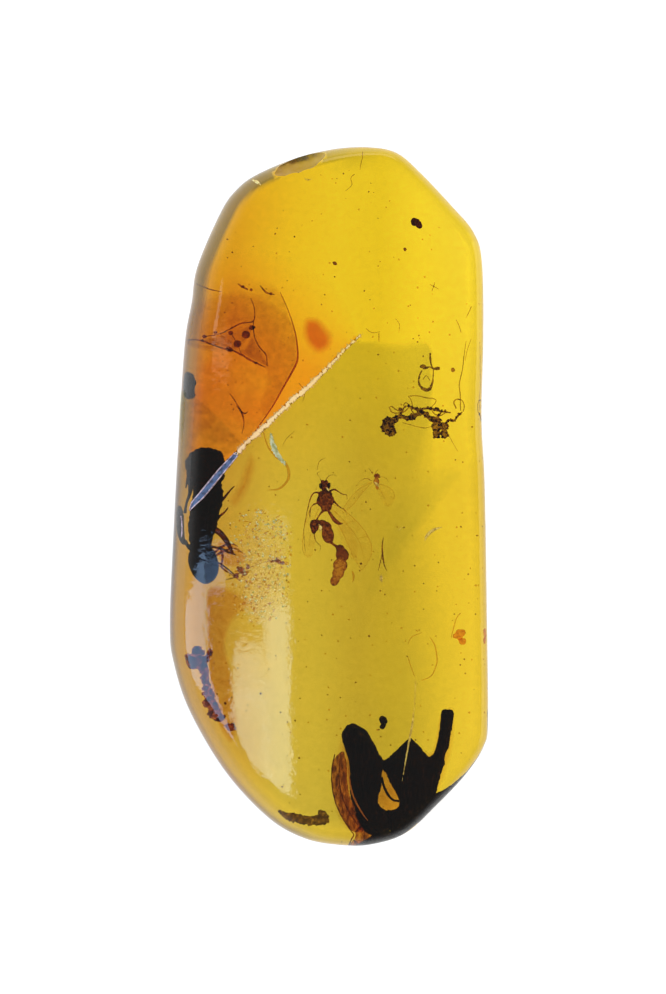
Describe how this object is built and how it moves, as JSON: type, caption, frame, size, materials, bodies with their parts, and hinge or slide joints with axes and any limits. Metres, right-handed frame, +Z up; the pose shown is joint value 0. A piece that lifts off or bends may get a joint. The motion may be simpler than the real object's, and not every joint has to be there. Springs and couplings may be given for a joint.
{
  "type": "insect in amber",
  "caption": "Polished oblong amber specimen with a winged wasp, a beetle, a midge and plant scraps sealed inside; lies flat on its back.",
  "frame": {"origin": "on the surface that the stone lies on, under the middle of its bounding box", "axes": "+Z up out of the front face, +Y along the stone towards the end with the yellow, empty resin, +X across it towards the straight side"},
  "size_m": [0.0128, 0.028, 0.007],
  "materials": {
    "clear_amber": "polished, clear, yellow shading to orange",
    "wasp_cuticle": "red-brown, smooth",
    "midge_body": "pale amber-brown, faint",
    "beetle_shell": "black, satin",
    "black_bark": "charred, matt",
    "bud_scale": "papery, red-brown",
    "frass": "crumbly, dark brown",
    "seed_husk": "thin, brown",
    "web_dust": "dusty strands",
    "dark_scrap": "dark brown to violet, matt",
    "dark_resin": "orange-red, glossy"
  },
  "bodies": {
    "root": {"amber_front": "clear_amber", "amber_back": "clear_amber", "winged_wasp": "wasp_cuticle", "midge": "midge_body", "black_beetle": "beetle_shell", "bark_limb": "black_bark", "bark_fork": "black_bark", "bud_scale": "bud_scale", "pellet_arch": "frass", "seed_husk": "seed_husk", "web_scraps": "web_dust", "edge_flake": "dark_scrap", "crumb_string": "dark_scrap", "bark_strip": "dark_scrap", "square_grain": "dark_scrap", "round_grain": "dark_scrap", "resin_grain": "dark_resin"}
  },
  "joints": []
}
